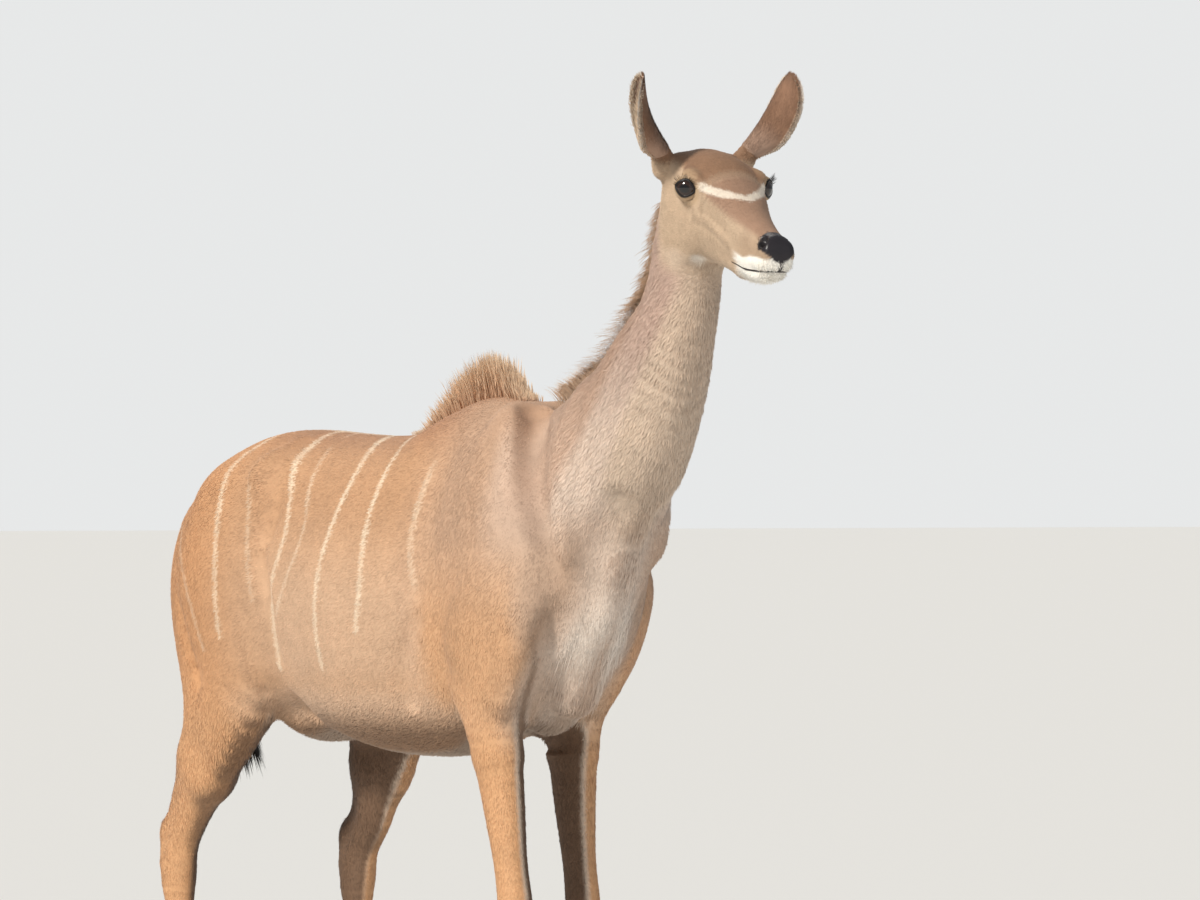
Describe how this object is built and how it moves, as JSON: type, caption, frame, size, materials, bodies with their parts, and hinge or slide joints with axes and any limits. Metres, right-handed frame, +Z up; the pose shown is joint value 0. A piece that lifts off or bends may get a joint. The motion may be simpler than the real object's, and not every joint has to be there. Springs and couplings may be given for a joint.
{
  "type": "greater kudu cow",
  "caption": "Hornless female greater kudu standing with raised head, large upright ears, hump crest, short nape mane and hanging tail, as a still life-size model.",
  "frame": {"origin": "centre of the bounding box in plan, at the level of the soles", "axes": "+X the way she faces, +Y to her left, +Z up"},
  "size_m": [1.965, 0.4136, 1.7998],
  "materials": {
    "coat": "short matt hair",
    "leg": "short matt hair",
    "ear": "short matt hair",
    "eye": "wet and glossy",
    "tail": "long matt hair",
    "hoof": "dull horn"
  },
  "bodies": {
    "root": {"torso": "coat", "neck": "coat", "head": "coat", "ear_left": "ear", "ear_right": "ear", "eye_left": "eye", "eye_right": "eye", "foreleg_left_lower": "leg", "foreleg_left_upper": "leg", "foreleg_right_lower": "leg", "foreleg_right_upper": "leg", "hindleg_left_lower": "leg", "hindleg_left_upper": "leg", "hindleg_right_lower": "leg", "hindleg_right_upper": "leg", "hoof_fore_left_inner": "hoof", "hoof_fore_left_outer": "hoof", "hoof_fore_right_inner": "hoof", "hoof_fore_right_outer": "hoof", "hoof_hind_left_inner": "hoof", "hoof_hind_left_outer": "hoof", "hoof_hind_right_inner": "hoof", "hoof_hind_right_outer": "hoof", "tail": "tail"}
  },
  "joints": []
}
